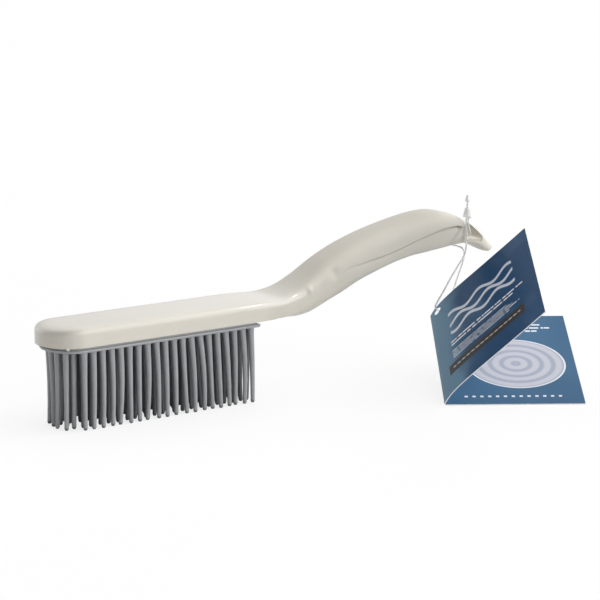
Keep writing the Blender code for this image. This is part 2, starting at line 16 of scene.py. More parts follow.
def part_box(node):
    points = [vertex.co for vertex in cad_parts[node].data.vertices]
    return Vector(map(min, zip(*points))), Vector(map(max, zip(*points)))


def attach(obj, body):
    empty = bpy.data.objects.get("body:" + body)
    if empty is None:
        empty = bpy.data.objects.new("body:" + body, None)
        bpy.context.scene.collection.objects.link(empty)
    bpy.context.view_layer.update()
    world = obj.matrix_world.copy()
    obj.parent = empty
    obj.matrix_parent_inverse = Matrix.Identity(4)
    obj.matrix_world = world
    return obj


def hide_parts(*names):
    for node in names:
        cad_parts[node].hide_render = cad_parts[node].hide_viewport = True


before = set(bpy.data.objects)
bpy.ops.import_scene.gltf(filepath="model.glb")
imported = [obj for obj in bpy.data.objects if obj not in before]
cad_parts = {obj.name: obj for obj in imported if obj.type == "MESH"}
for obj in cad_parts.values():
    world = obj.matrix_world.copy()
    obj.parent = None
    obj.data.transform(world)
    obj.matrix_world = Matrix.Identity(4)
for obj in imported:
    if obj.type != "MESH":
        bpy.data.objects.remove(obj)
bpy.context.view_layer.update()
MM = 0.001

# %% [markdown]
# The camera comes first, because everything is seen through it. A long lens from well back keeps the
# brush free of strong perspective, as on a catalogue photograph. The turn and the tilt are all that aims it.

# %% Camera
CAMERA_PLACE = Vector((-746.47, -1045.75, 309.44)) * MM
CAMERA_DOWN = math.radians(11.536)
CAMERA_TURN = math.radians(36.0)
CAMERA_LENS = 153.5
CAMERA_SENSOR = 36.0

bpy.ops.object.camera_add(location=CAMERA_PLACE, rotation=(math.pi / 2 - CAMERA_DOWN, 0, -CAMERA_TURN))
camera = bpy.context.object
camera.data.lens = CAMERA_LENS
camera.data.sensor_width = CAMERA_SENSOR
bpy.context.scene.camera = camera
print("camera", round(CAMERA_PLACE.length, 3), "m from the origin")

# %% [markdown]
# Shader maths reads best as sums. A small class wraps a socket and turns sums, products and shares into
# Math nodes, and a finish adds any other node through one method: its type, its settings, and what its
# sockets get.


# %% Shader helpers
class Wire:
    """A socket of numbers that takes part in sums."""

    def __init__(self, nodes, socket):
        self.nodes = nodes
        self.socket = socket

    def math(self, operation, first, second):
        return self.nodes.node("Math", {"operation": operation}, {0: first, 1: second})

    def __add__(self, other):
        return self.math("ADD", self, other)

    __radd__ = __add__

    def __sub__(self, other):
        return self.math("SUBTRACT", self, other)

    def __rsub__(self, other):
        return self.math("SUBTRACT", other, self)

    def __mul__(self, other):
        return self.math("MULTIPLY", self, other)

    __rmul__ = __mul__

    def __truediv__(self, other):
        return self.math("DIVIDE", self, other)

    def least(self, other):
        return self.math("MINIMUM", self, other)

    def most(self, other):
        return self.math("MAXIMUM", self, other)

    def size(self):
        return self.math("ABSOLUTE", self, 0.0)

    def wave(self):
        return self.math("SINE", self, 0.0)

    def remainder(self, period):
        return self.math("FLOORED_MODULO", self, period)

    def floor(self):
        return self.math("FLOOR", self, 0.0)


class Nodes:
    """A tree of nodes, of a material or of the world."""

    def __init__(self, tree):
        self.tree = tree

    def feed(self, socket, value):
        if isinstance(value, Wire):
            self.tree.links.new(value.socket, socket)
        else:
            socket.default_value = value

    def node(self, kind, settings, inputs, output=0):
        made = self.tree.nodes.new("ShaderNode" + kind)
        for key, value in settings.items():
            setattr(made, key, value)
        for key, value in inputs.items():
            self.feed(made.inputs[key], value)
        return Wire(self, made.outputs[output])

    def blend(self, factor, first, second):
        """One colour into another."""
        ends = [value if isinstance(value, Wire) else (*value, 1) for value in (first, second)]
        return self.node("Mix", {"data_type": "RGBA"}, {0: factor, 6: ends[0], 7: ends[1]}, output=2)

    def noise(self, place, scale, detail=3.0):
        return self.node("TexNoise", {}, {"Vector": place, "Scale": scale, "Detail": detail})

    def ramp(self, value, low, high):
        """0 below low, 1 above high, and smooth between."""
        return self.node(
            "MapRange",
            {"interpolation_type": "SMOOTHSTEP"},
            {"Value": value, "From Min": low, "From Max": high},
        )

    def split(self, vector):
        apart = self.tree.nodes.new("ShaderNodeSeparateXYZ")
        self.feed(apart.inputs[0], vector)
        return [Wire(self, socket) for socket in apart.outputs]


class Finish(Nodes):
    """One material, and the nodes behind its surface."""

    def __init__(self, name, colour, **constants):
        self.material = bpy.data.materials.new(name)
        self.material.use_nodes = True
        super().__init__(self.material.node_tree)
        self.shader = self.tree.nodes["Principled BSDF"]
        self.shader.inputs["Base Color"].default_value = (*colour, 1)
        for key, value in constants.items():
            self.shader.inputs[key.replace("_", " ")].default_value = value

    def place(self):
        return self.node("TexCoord", {}, {}, output="Object")

    def bump(self, height, distance, strength=1.0):
        made = self.node("Bump", {}, {"Height": height, "Distance": distance, "Strength": strength})
        self.feed(self.shader.inputs["Normal"], made)

    def surface(self, **inputs):
        for key, value in inputs.items():
            self.feed(self.shader.inputs[key.replace("_", " ")], value)
        return self.material


# %% [markdown]
# The moulding is a cream plastic. Its head keeps a clean gloss, and the grip has a duller skin, where a hand
# holds it. Under raking light such a moulding isn't quite even: it has faint flow marks, a skin like fine
# orange peel, and a few duller patches. Noise at three scales gives these.

# %% Cream plastic
CREAM = (0.585, 0.555, 0.490)
CREAM_DULL = (0.540, 0.508, 0.446)
GRIP_SKIN = (-8 * MM, 26 * MM)


def cream_plastic():
    finish = Finish("cream_plastic", CREAM, Roughness=0.34, IOR=1.45, Coat_Roughness=0.09)
    place = finish.place()
    flow = finish.noise(place, 22.0, 2.0)
    rubbed = finish.ramp(finish.noise(place, 60.0, 3.0), 0.45, 0.75)
    peel = finish.noise(place, 1100.0, 1.0)
    along = finish.split(place)[0]
    held = finish.ramp(along, *GRIP_SKIN)
    colour = finish.blend(finish.ramp(flow, 0.3, 0.75) * 0.30, CREAM, CREAM_DULL)
    finish.bump(peel, 0.000012, 0.5)
    dull = rubbed * 0.06 + held * 0.14
    return finish.surface(Base_Color=colour, Roughness=0.36 + dull, Coat_Weight=0.9 - held * 0.88)


# %% [markdown]
# The fingers and their flange are one grey rubber moulding. Rubber is rougher than the plastic, with a broad
# sheen on the side that faces the light and fine pitting. It has a pale bloom in patches, a little more near
# the tips, where they rub. The inner rows are painted darker, a painted shade for the light that the outer
# rows and the nose keep from them, and the lowest part of the tips is painted darker in patches, a painted
# shade where they stand on the floor.

# %% Grey rubber
RUBBER = (0.300, 0.309, 0.320)
RUBBER_BLOOM = (0.340, 0.349, 0.360)
RUBBER_INNER_SHADE = (0.120, 0.124, 0.130)
RUBBER_TIP_SHADE = (0.060, 0.060, 0.062)
RUBBED_HEIGHTS = (1 * MM, 12 * MM)
TIP_SHADE_HEIGHTS = (0.4 * MM, 1.8 * MM)
OUTER_SIDES = (10.0 * MM, 12.4 * MM)
OUTER_NOSE = (-127 * MM, -119 * MM)


def grey_rubber():
    finish = Finish("grey_rubber", RUBBER, Roughness=0.36, IOR=1.6)
    place = finish.place()
    along, side, height = finish.split(place)
    mottle = finish.noise(place, 160.0, 4.0)
    pits = finish.noise(place, 2600.0, 3.0)
    rubbed = 1.0 - finish.ramp(height, *RUBBED_HEIGHTS)
    bloom = finish.ramp(mottle + rubbed * 0.10, 0.48, 0.72)
    colour = finish.blend(bloom * 0.5, RUBBER, RUBBER_BLOOM)
    # Painted shade: the inner rows get a darker colour, standing in for the light that the outer rows keep
    # from them.
    sides = finish.ramp(side.size(), *OUTER_SIDES)
    nose = 1.0 - finish.ramp(along, *OUTER_NOSE)
    colour = finish.blend(sides.most(nose), RUBBER_INNER_SHADE, colour)
    # Painted shade: the lowest part of each tip is darkened in patches where it stands on the floor.
    tip_shade = (1.0 - finish.ramp(height, *TIP_SHADE_HEIGHTS)) * finish.ramp(mottle, 0.25, 0.50)
    colour = finish.blend(tip_shade * 0.8, colour, RUBBER_TIP_SHADE)
    finish.bump(pits + mottle * 0.5, 0.00004, 0.5)
    return finish.surface(Base_Color=colour, Roughness=0.30 + mottle * 0.10)


# %% [markdown]
# The loop and its fastener are nylon, which is cloudy white: some light passes, and the rest spreads inside.
# A little transmission with a soft roughness does it, with faint draw lines along the surface.

# %% Cloudy nylon
NYLON = (0.99, 0.99, 0.98)
NYLON_SHADE = (0.92, 0.92, 0.91)


def cloudy_nylon():
    finish = Finish("cloudy_nylon", NYLON, Roughness=0.32, IOR=1.53, Transmission_Weight=0.45)
    place = finish.place()
    cloud = finish.noise(place, 700.0, 3.0)
    colour = finish.blend(finish.ramp(cloud, 0.35, 0.7), NYLON, NYLON_SHADE)
    finish.bump(cloud, 0.00003, 0.5)
    return finish.surface(Base_Color=colour, Roughness=0.26 + cloud * 0.14)


# %% [markdown]
# The loop is one nylon filament. It leaves its socket, runs down to the card and through its hole, climbs
# back beside itself, goes under the tail and up through the eye, and ends in the socket again. A filament is
# a curve with a round bevel, and a smooth curve through listed points keeps it from looking like wire.

# %% Route of the loop
FILAMENT_DIAMETER = 0.9 * MM
LOOP_POINTS = [
    (115.20, -10.5, 79.3),
    (115.20, -10.5, 76.5),
    (115.40, -10.5, 71.5),
    (115.50, -10.5, 66.0),
    (114.50, -10.5, 60.5),
    (110.10, -10.5, 54.7),
    (105.10, -10.4, 48.4),
    (101.00, -10.2, 42.6),
    (97.40, -9.2, 36.6),
    (96.90, -7.8, 34.0),
    (97.60, -7.2, 32.2),
    (98.80, -7.6, 31.1),
    (100.20, -8.2, 30.0),
    (101.60, -8.8, 29.9),
    (102.60, -8.9, 31.6),
    (103.90, -8.7, 34.4),
    (105.80, -8.8, 37.2),
    (108.40, -9.0, 41.7),
    (110.30, -9.0, 46.7),
    (114.00, -9.2, 55.2),
    (115.80, -8.6, 59.6),
    (116.60, -6.0, 62.4),
    (117.00, 0.0, 63.0),
    (117.20, 6.0, 63.0),
    (117.60, 9.2, 63.9),
    (118.30, 10.4, 66.2),
    (118.70, 9.2, 68.5),
    (118.80, 6.0, 69.1),
    (118.80, 0.0, 69.1),
    (118.80, -6.0, 69.1),
    (118.60, -9.4, 69.9),
    (117.80, -10.6, 72.2),
    (116.90, -10.6, 75.4),
    (116.60, -10.5, 77.4),
    (116.60, -10.5, 79.3),
]
LOOP_SAMPLES = 190
POINTS_PER_LEG = 24


def smooth_path(points, samples):
    """Evenly spaced points on a smooth curve through the given ones."""
    fixed = np.array(points, float)
    padded = np.vstack([2 * fixed[0] - fixed[1], fixed, 2 * fixed[-1] - fixed[-2]])
    dense = []
    for a, b, c, d in zip(padded, padded[1:], padded[2:], padded[3:]):
        for t in np.linspace(0, 1, POINTS_PER_LEG, endpoint=False):
            square, cube = 2 * a - 5 * b + 4 * c - d, 3 * b - 3 * c + d - a
            dense.append(0.5 * (2 * b + (c - a) * t + square * t**2 + cube * t**3))
    dense = np.array(dense + [fixed[-1]])
    run = np.concatenate([[0], np.cumsum(np.linalg.norm(np.diff(dense, axis=0), axis=1))])
    even = [[np.interp(s, run, dense[:, i]) for i in range(3)] for s in np.linspace(0, run[-1], samples)]
    return np.array(even), run[-1]


# %% The loop
nylon = cloudy_nylon()
loop_path, loop_length = smooth_path(np.array(LOOP_POINTS) * MM, LOOP_SAMPLES)
bpy.ops.curve.primitive_bezier_curve_add(location=(0, 0, 0))
loop = bpy.context.object
loop.name = "nylon_loop"
loop.data.splines.remove(loop.data.splines[0])
strand = loop.data.splines.new("POLY")
strand.points.add(LOOP_SAMPLES - 1)
strand.points.foreach_set("co", np.hstack([loop_path, np.ones((LOOP_SAMPLES, 1))]).ravel())
loop.data.dimensions = "3D"
loop.data.bevel_depth = FILAMENT_DIAMETER / 2
loop.data.bevel_resolution = 3
loop.data.use_fill_caps = True
loop.data.materials.append(nylon)
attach(loop, "loop")
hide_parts("hang_loop")
print("loop", round(loop_length * 1000, 1), "mm")

# %% [markdown]
# Many pieces here are stacks of rings: a filled circle is extruded again and again, and after each extrude
# the new ring is moved to its own place. One helper does this in edit mode. It returns a closed object whose
# faces point outwards.


# %% A stack of rings
def edit(piece):
    """Edit mode on one piece alone, with nothing selected in it."""
    bpy.ops.object.select_all(action="DESELECT")
    piece.select_set(True)
    bpy.context.view_layer.objects.active = piece
    bpy.ops.object.mode_set(mode="EDIT")
    bpy.ops.mesh.select_all(action="DESELECT")
    return bmesh.from_edit_mesh(piece.data)


def done(piece):
    bpy.ops.object.mode_set(mode="OBJECT")
    piece.select_set(False)
    return piece


def stack(name, rings):
    """A filled ring of points, extruded to each next ring of as many points."""
    bpy.ops.mesh.primitive_circle_add(vertices=len(rings[0]), radius=1, fill_type="NGON", location=(0, 0, 0))
    piece = bpy.context.object
    piece.name = name
    for vertex, point in zip(piece.data.vertices, rings[0]):
        vertex.co = point
    bm = edit(piece)
    bm.faces.ensure_lookup_table()
    bm.faces[0].select = True
    bmesh.update_edit_mesh(piece.data)
    for last, ring in zip(rings, rings[1:]):
        bpy.ops.mesh.extrude_region_move()
        bm = bmesh.from_edit_mesh(piece.data)
        placed = {tuple(round(c, 7) for c in old): new for old, new in zip(last, ring)}
        for vertex in bm.verts:
            if vertex.select:
                vertex.co = placed[tuple(round(c, 7) for c in vertex.co)]
        bmesh.update_edit_mesh(piece.data)
    bpy.ops.mesh.select_all(action="SELECT")
    bpy.ops.mesh.normals_make_consistent(inside=False)
    return done(piece)


def exact(points):
    """Points as a mesh stores them, in 32 bits."""
    return [tuple(float(c) for c in np.float32(point)) for point in points]


def turned(name, profile, centre, sides):
    """A turned piece from (radius, height) pairs, lowest first."""
    x, y, z = centre
    angles = [i * math.tau / sides for i in range(sides)]
    rings = []
    for radius, height in profile:
        ring = [(x + radius * math.cos(a), y + radius * math.sin(a), z + height) for a in angles]
        rings.append(exact(ring))
    return stack(name, rings)


def smooth(piece, degrees):
    """Smooth shading with the sharp edges kept."""
    bpy.ops.object.select_all(action="DESELECT")
    piece.select_set(True)
    bpy.context.view_layer.objects.active = piece
    bpy.ops.object.shade_smooth_by_angle(angle=math.radians(degrees))
    piece.select_set(False)
    return piece


def dressed(piece, finish, body, slot, *nodes):
    """The piece's material and body, and the nodes that it stands for; the slot is not used."""
    piece.data.materials.clear()
    piece.data.materials.append(finish)
    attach(piece, body)
    if nodes:
        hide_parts(*nodes)
    return piece


# %% [markdown]
# The fastener is two turned pieces. The socket is a cone that is widest near its foot, where both strands go
# in, and the pin above it ends in a barb that can't be pulled back. Both are drawn as profiles with rounded
# shoulders and turned about their own upright line.

# %% The fastener
SOCKET_PROFILE = [
    (1.2, 0.0),
    (1.7, 0.05),
    (2.1, 0.3),
    (2.42, 0.8),
    (2.44, 1.1),
    (2.2, 2.0),
    (1.85, 3.5),
    (1.5, 4.9),
    (1.38, 5.35),
    (1.2, 5.55),
    (0.7, 5.6),
]
PIN_PROFILE = [
    (0.7, 0.0),
    (0.62, 0.25),
    (0.55, 1.2),
    (0.6, 2.3),
    (0.72, 2.9),
    (1.25, 3.0),
    (1.39, 3.15),
    (1.38, 3.6),
    (1.1, 4.6),
    (0.75, 5.7),
    (0.5, 6.35),
    (0.25, 6.58),
]
FASTENER_SIDES = 28

socket_low, socket_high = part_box("loop_socket")
pin_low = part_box("loop_pin")[0]
socket_foot = Vector(((socket_low.x + socket_high.x) / 2, (socket_low.y + socket_high.y) / 2, socket_low.z))
pin_foot = Vector((socket_foot.x, socket_foot.y, pin_low.z))
for name, profile, foot, node in (
    ("fastener_socket", SOCKET_PROFILE, socket_foot, "loop_socket"),
    ("fastener_pin", PIN_PROFILE, pin_foot, "loop_pin"),
):
    made = turned(name, [(r * MM, h * MM) for r, h in profile], foot, FASTENER_SIDES)
    dressed(smooth(made, 50), nylon, "loop", "nylon", node)
print("socket foot", [round(c, 4) for c in socket_foot])

# %% [markdown]
# The rubber pad is one moulding: a flange that follows the head's outline, a groove above it that takes the
# rim of the head, and rows of fingers below. The flange is a stack of the head's outlines, each drawn in by
# its own amount, with small rounds where the solid has plain steps.

# %% The head's outline
OVERALL_LENGTH = 283 * MM
NOSE_X = -OVERALL_LENGTH / 2
NOSE_LENGTH = 16.2 * MM
HEAD_WIDTH = 34.6 * MM
PAD_LENGTH = 119.8 * MM
PAD_REAR_RADIUS = 1.6 * MM
RIM_Z = 41.6 * MM
OUTLINE_POINTS = 44
CORNER_POINTS = 6


def outline(inset, rear, z, nose=0.0):
    """The head's plan outline drawn in by inset, and at the nose by more: a round nose and a square rear."""
    half = HEAD_WIDTH / 2 - inset
    length = NOSE_LENGTH - inset - nose
    ring = []
    for i in range(OUTLINE_POINTS + 1):
        angle = math.pi / 2 + i * math.pi / OUTLINE_POINTS
        ring.append((NOSE_X + NOSE_LENGTH + length * math.cos(angle), half * math.sin(angle), z))
    for side, turns in ((-1, range(CORNER_POINTS)), (1, reversed(range(CORNER_POINTS)))):
        for i in turns:
            angle = i * math.pi / 2 / (CORNER_POINTS - 1)
            x = NOSE_X + rear - inset - PAD_REAR_RADIUS * (1 - math.sin(angle))
            ring.append((x, side * (half - PAD_REAR_RADIUS * (1 - math.cos(angle))), z))
    return exact(ring)


# %% The flange
FLANGE_LEVELS = [
    (38.80, 1.35, 1.8),
    (38.86, 1.08, 1.8),
    (39.05, 0.88, 1.8),
    (39.35, 0.80, 1.8),
    (39.95, 0.80, 1.7),
    (40.14, 0.90, 1.6),
    (40.22, 1.15, 1.5),
    (40.30, 1.90, 1.2),
    (40.60, 2.00, 1.0),
    (41.20, 2.00, 0.6),
    (41.50, 2.60, 0.0),
    (45.10, 2.60, 0.0),
]

rubber = grey_rubber()
flange_rings = [outline(inset * MM, PAD_LENGTH, z * MM, nose * MM) for z, inset, nose in FLANGE_LEVELS]
flange = stack("pad_flange", flange_rings)
dressed(smooth(flange, 35), rubber, "brush", "rubber", "rubber_pad")
print("flange", [round(c, 4) for c in flange.dimensions])

# %% [markdown]
# A finger is modelled once: a slim turned piece with a small fillet at its root, a slow taper and a blunt end
# with the short nub that it stands on. Each copy is then bent a little in its own direction, as rubber
# fingers are after use, and all of them are joined, because they are one moulding with the flange.

# %% One finger
FINGER_LENGTH = 38.8 * MM
FINGER_PROFILE = [
    (0.62, 0.00),
    (0.78, 0.07),
    (0.82, 0.35),
    (0.90, 0.50),
    (1.02, 0.62),
    (1.08, 1.00),
    (1.10, 4.00),
    (1.18, 12.0),
    (1.30, 22.0),
    (1.43, 31.0),
    (1.54, 36.5),
    (1.66, 38.0),
    (2.00, 39.0),
]
FINGER_SIDES = 12

finger = turned("finger", [(r * MM, h * MM) for r, h in FINGER_PROFILE], (0, 0, 0), FINGER_SIDES)
print("finger faces", len(finger.data.polygons))

# %% [markdown]
# The fingers stand in six staggered rows, kept inside the flange. Where the nose narrows, the first ones of a
# row stand a little further back. The weight of the brush has swept the fingers of the middle towards the
# handle, each also has a small lean and bow of its own, and so no two look alike.

# %% Places of the fingers
FINGER_PITCH = 5.14 * MM
FINGER_ROWS = 6
FINGER_ROW_SPACING = 5.5 * MM
FINGER_START = 1.1 * MM
FINGER_STAGGER = 1.27 * MM
FINGER_EDGE = 3.3 * MM
FINGER_NOSE_EDGE = 5 * MM
FINGER_NOSE_CLEAR = 7.6 * MM
FIT_OVERLAP = 0.6 * MM


def outline_half_width(along, inset):
    share = min(1.0, max(0.0, (NOSE_LENGTH - along) / (NOSE_LENGTH - inset)))
    return (HEAD_WIDTH / 2 - inset) * math.sqrt(1 - share**2)


def finger_places():
    """(distance from the nose, y, row, column) of every finger."""
    for row in range(FINGER_ROWS):
        y = (row - (FINGER_ROWS - 1) / 2) * FINGER_ROW_SPACING
        start = FINGER_START + (FINGER_PITCH / 2 if row % 2 else 0)
        shift = FINGER_STAGGER if row % 2 else 0.0
        clear = NOSE_LENGTH * (1 - math.sqrt(1 - (y / (HEAD_WIDTH / 2)) ** 2)) + FINGER_NOSE_CLEAR
        set_back = None
        for column in range(int(PAD_LENGTH / FINGER_PITCH) + 1):
            along = start + column * FINGER_PITCH
            inside = abs(y) <= outline_half_width(along, FINGER_EDGE) + FIT_OVERLAP
            if inside and FINGER_NOSE_EDGE < along < PAD_LENGTH - FINGER_EDGE + FIT_OVERLAP:
                set_back = max(0.0, clear - along + shift) if set_back is None else set_back / 2
                yield along + set_back - shift, y, row, column


# %% All the fingers
FINGER_SWEEP = 2.6 * MM
FINGER_SWEEP_SHARES = (0.71, 0.20)
FINGER_LEAN = 0.45 * MM
FINGER_SWAY = 0.5 * MM
FINGER_BOW = 0.45 * MM
LEAN_STEPS = (2.4, 1.7)
SWAY_STEPS = (1.9, 2.6)
BOW_STEPS = (1.3, 2.1)


def phase_at(column, row, steps):
    """An angle that differs from each finger to its neighbours."""
    return steps[0] * column + steps[1] * row


def bent(source, along, y, row, column):
    """A copy of the finger with its own mesh, moved to its place and bent."""
    copy = source.copy()
    copy.data = source.data.copy()
    bpy.context.collection.objects.link(copy)
    middle, reach = FINGER_SWEEP_SHARES
    sweep = FINGER_SWEEP * math.exp(-(((along / PAD_LENGTH - middle) / reach) ** 2))
    lean = sweep + FINGER_LEAN * math.sin(phase_at(column, row, LEAN_STEPS))
    sway = FINGER_SWAY * math.cos(phase_at(column, row, SWAY_STEPS))
    phase = phase_at(column, row, BOW_STEPS)
    for vertex in copy.data.vertices:
        t = max(0.0, 1 - vertex.co.z / FINGER_LENGTH)
        bow = FINGER_BOW * math.sin(math.pi * t)
        vertex.co.x += NOSE_X + along + lean * t + bow * (1 + 0.8 * math.sin(phase))
        vertex.co.y += y + sway * t**1.6 + bow * math.cos(1.7 * phase)
    return copy


copies = [bent(finger, *place) for place in finger_places()]
finger_count = len(copies)
bpy.ops.object.select_all(action="DESELECT")
for copy in copies:
    copy.select_set(True)
bpy.context.view_layer.objects.active = copies[0]
bpy.ops.object.join()
fingers = copies[0]
fingers.name = "pad_fingers"
bpy.data.objects.remove(finger)
dressed(smooth(fingers, 55), rubber, "brush", "rubber", "rubber_pad")
print("fingers", finger_count, "faces", len(fingers.data.polygons))

# %% [markdown]
# The moulding is the piece that the eye follows: a flat head with a soft shoulder, a neck that dips and
# rises, a grip with a recess under a lip, and a tail with an eye. Its sections change all the time, so it
# starts as a grid for one half, is laid on the sections, and is mirrored. One row of the grid is the
# character line: the rim of the head, then the widest line of the neck, then the lip of the recess.

# %% Sections of the moulding
HEAD_HEIGHT = 9.7 * MM
HANDLE_RISE = 43.4 * MM
GRIP_WIDTH = 22.4 * MM
STATION_SHARES = [
    (0.057, 0.000, 0.000, 0.000, 0.000, 1.00, 9.0, 2.0),
    (0.250, 0.000, 0.000, 0.000, 0.000, 1.00, 9.0, 2.0),
    (0.400, 0.000, 0.000, 0.000, 0.000, 1.00, 9.0, 2.0),
    (0.445, 0.012, 0.000, 0.000, 0.046, 0.93, 8.4, 2.0),
    (0.480, 0.058, 0.016, -0.026, 0.232, 0.74, 6.6, 2.2),
    (0.512, 0.180, 0.060, -0.052, 0.504, 0.46, 4.6, 2.8),
    (0.545, 0.358, 0.165, -0.030, 0.789, 0.20, 3.4, 3.6),
    (0.580, 0.539, 0.290, 0.052, 0.934, 0.06, 2.9, 4.2),
    (0.620, 0.676, 0.435, 0.151, 0.990, 0.00, 2.9, 4.8),
    (0.660, 0.769, 0.495, 0.262, 0.990, 0.00, 3.1, 4.3),
    (0.700, 0.842, 0.540, 0.350, 1.000, 0.00, 3.3, 4.3),
    (0.740, 0.900, 0.597, 0.425, 1.000, 0.00, 3.4, 4.3),
    (0.780, 0.948, 0.668, 0.475, 1.020, 0.00, 3.4, 4.3),
    (0.815, 0.980, 0.730, 0.500, 1.020, 0.00, 3.3, 5.0),
    (0.845, 0.987, 0.775, 0.516, 1.000, 0.00, 3.2, 5.0),
    (0.870, 0.961, 0.790, 0.528, 0.950, 0.00, 3.0, 4.6),
    (0.895, 0.908, 0.770, 0.538, 0.880, 0.00, 2.8, 4.0),
    (0.918, 0.840, 0.700, 0.536, 0.800, 0.00, 2.6, 3.4),
    (0.935, 0.780, 0.640, 0.512, 0.730, 0.00, 2.6, 3.0),
    (0.955, 0.698, 0.565, 0.462, 0.620, 0.00, 2.6, 2.8),
    (0.975, 0.590, 0.480, 0.398, 0.460, 0.00, 2.5, 2.6),
    (0.990, 0.495, 0.430, 0.370, 0.280, 0.00, 2.3, 2.3),
]
TAIL_SHARES = (0.984, 0.425)


def smooth_table(rows, at):
    """The columns of a table at a first-column value, on a smooth curve with no overshoot."""
    table = np.array(rows, float)
    x = table[:, 0]
    at = min(max(at, x[0]), x[-1])
    i = int(min(max(np.searchsorted(x, at) - 1, 0), len(x) - 2))
    step = np.diff(x)
    slopes = np.diff(table, axis=0) / step[:, None]
    inner = np.where(slopes[:-1] * slopes[1:] > 0, (slopes[:-1] + slopes[1:]) / 2, 0)
    limit = 2.5 * np.minimum(np.abs(slopes[:-1]), np.abs(slopes[1:]))
    tangents = np.vstack([slopes[:1], np.clip(inner, -limit, limit), slopes[-1:]])
    h = step[i]
    t = (at - x[i]) / h
    return (
        table[i] * (2 * t**3 - 3 * t**2 + 1)
        + tangents[i] * h * (t**3 - 2 * t**2 + t)
        + table[i + 1] * (3 * t**2 - 2 * t**3)
        + tangents[i + 1] * h * (t**3 - t**2)
    )


SOFTENING = 0.008
SOFTENING_WEIGHTS = (1, 2, 3, 4, 3, 2, 1)


def section_at(along):
    """Top, widest line, bottom, half-width and the two powers, averaged over a short stretch."""
    share = along / OVERALL_LENGTH
    near = [smooth_table(STATION_SHARES, share + SOFTENING * k / 3) for k in (-3, -2, -1, 0, 1, 2, 3)]
    row = np.average(near, axis=0, weights=SOFTENING_WEIGHTS)
    head = row[5]
    top, middle, bottom = (RIM_Z + part * HANDLE_RISE for part in row[1:4])
    half = (row[4] * GRIP_WIDTH + head * HEAD_WIDTH) / 2
    closing = max(0.0, share - TAIL_SHARES[0]) / (1 - TAIL_SHARES[0])
    scale = math.sqrt(max(0.0, 1 - closing**2))
    tip = RIM_Z + TAIL_SHARES[1] * HANDLE_RISE
    top, middle, bottom = (tip + (z - tip) * scale for z in (top + head * HEAD_HEIGHT, middle, bottom))
    return top, middle, bottom, half * scale, row[6], row[7]


print("grip section", [round(float(v), 4) for v in section_at(0.75 * OVERALL_LENGTH)])

# %% [markdown]
# The lip runs along the grip as a line of (place, height) shares, set from the photograph. Below it the
# panel is a plane that sinks slowly into the grip, and a soft diagonal closes it at the tail end.

# %% The lip and the recess
LIP_SPAN_SHARES = (0.622, 0.906)
LIP_LINE_SHARES = [
    (-0.05, 0.430),
    (0.00, 0.450),
    (0.12, 0.486),
    (0.21, 0.520),
    (0.30, 0.547),
    (0.41, 0.593),
    (0.53, 0.657),
    (0.66, 0.721),
    (0.79, 0.778),
    (0.86, 0.790),
    (0.92, 0.790),
    (0.97, 0.775),
    (1.00, 0.747),
]
LIP_FOOT_SHARES = (0.84, 0.480)
LIP_JOINS = (-0.30, -0.02)
LIP_PARTS = (1.00, 1.08)
LIP_DEPTH = 2.5 * MM
LIP_START_DEPTH = 0.30 * MM
LIP_ROUND = 0.18 * MM
LIP_GROOVE = 1.6 * MM
LIP_GROOVE_TALL = 0.8 * MM
LIP_GROOVE_STARTS = (-0.08, 0.26)
PANEL_BLEND = 0.20 * MM
END_BAND = 2.2 * MM
START_BAND = 3.0 * MM
START_SLOPE = 0.9
START_HEIGHT_SHARE = 0.450


def ease(value, low, high):
    """0 below low, 1 above high, smooth between."""
    t = min(1.0, max(0.0, (value - low) / (high - low)))
    return t * t * (3 - 2 * t)


def lip_place(along):
    """How far along the lip a distance from the nose is, as a share."""
    start, end = (share * OVERALL_LENGTH for share in LIP_SPAN_SHARES)
    return (along - start) / (end - start)


def lip_height(along):
    place = lip_place(along)
    return RIM_Z + HANDLE_RISE * smooth_table(LIP_LINE_SHARES, place)[1]


def character_height(along, middle):
    """The height of the character line: the lip where there is one, and the widest line elsewhere."""
    place = lip_place(along)
    on_lip = ease(place, *LIP_JOINS) * (1 - ease(place, *LIP_PARTS))
    return middle + (lip_height(along) - middle) * on_lip


def recess_depth(along, z):
    """How deep the panel lies under the grip's full half-width at a place on the side."""
    place = lip_place(along)
    depth = LIP_START_DEPTH + (LIP_DEPTH - LIP_START_DEPTH) * max(0.0, place)
    under_lip = max(0.0, lip_height(along) - z) / LIP_GROOVE_TALL
    depth += LIP_GROOVE * ease(place, *LIP_GROOVE_STARTS) * math.exp(-under_lip)
    span = (LIP_SPAN_SHARES[1] - LIP_SPAN_SHARES[0]) * OVERALL_LENGTH
    below = RIM_Z + START_HEIGHT_SHARE * HANDLE_RISE - z
    started = ease(place * span + below * START_SLOPE, 0, START_BAND)
    foot_place, foot_height = LIP_FOOT_SHARES
    run = (1.0 - foot_place) * span
    rise = (LIP_LINE_SHARES[-1][1] - foot_height) * HANDLE_RISE
    x = (place - foot_place) * span
    beyond = (x * rise - (z - RIM_Z - foot_height * HANDLE_RISE) * run) / math.hypot(run, rise)
    return depth * started * (1 - ease(beyond, -END_BAND, 0))


print("lip height", round(lip_height(0.8 * OVERALL_LENGTH), 4))

# %% [markdown]
# Each section is followed from the middle of its top, over the shoulder, down the side and under to the
# middle of its underside. The points are spread by length and by how much the line turns, so the shoulders
# get more of them than the flats.

# %% One half section
TOP_ROWS = 26
LIP_ROWS = 7
LOW_ROWS = 22
FINE = 160
TURNING_WEIGHT = 0.6
POINT_SIZE = 1e-7


def side_point(angle, top, middle, bottom, half, upper, lower):
    """A point of the section: a quarter turn is the top, zero the widest line, minus one the bottom."""
    power = upper if angle >= 0 else lower
    height = top - middle if angle >= 0 else middle - bottom
    y = half * max(0.0, math.cos(angle)) ** (2 / power)
    return y, middle + math.copysign(height * abs(math.sin(angle)) ** (2 / power), angle)


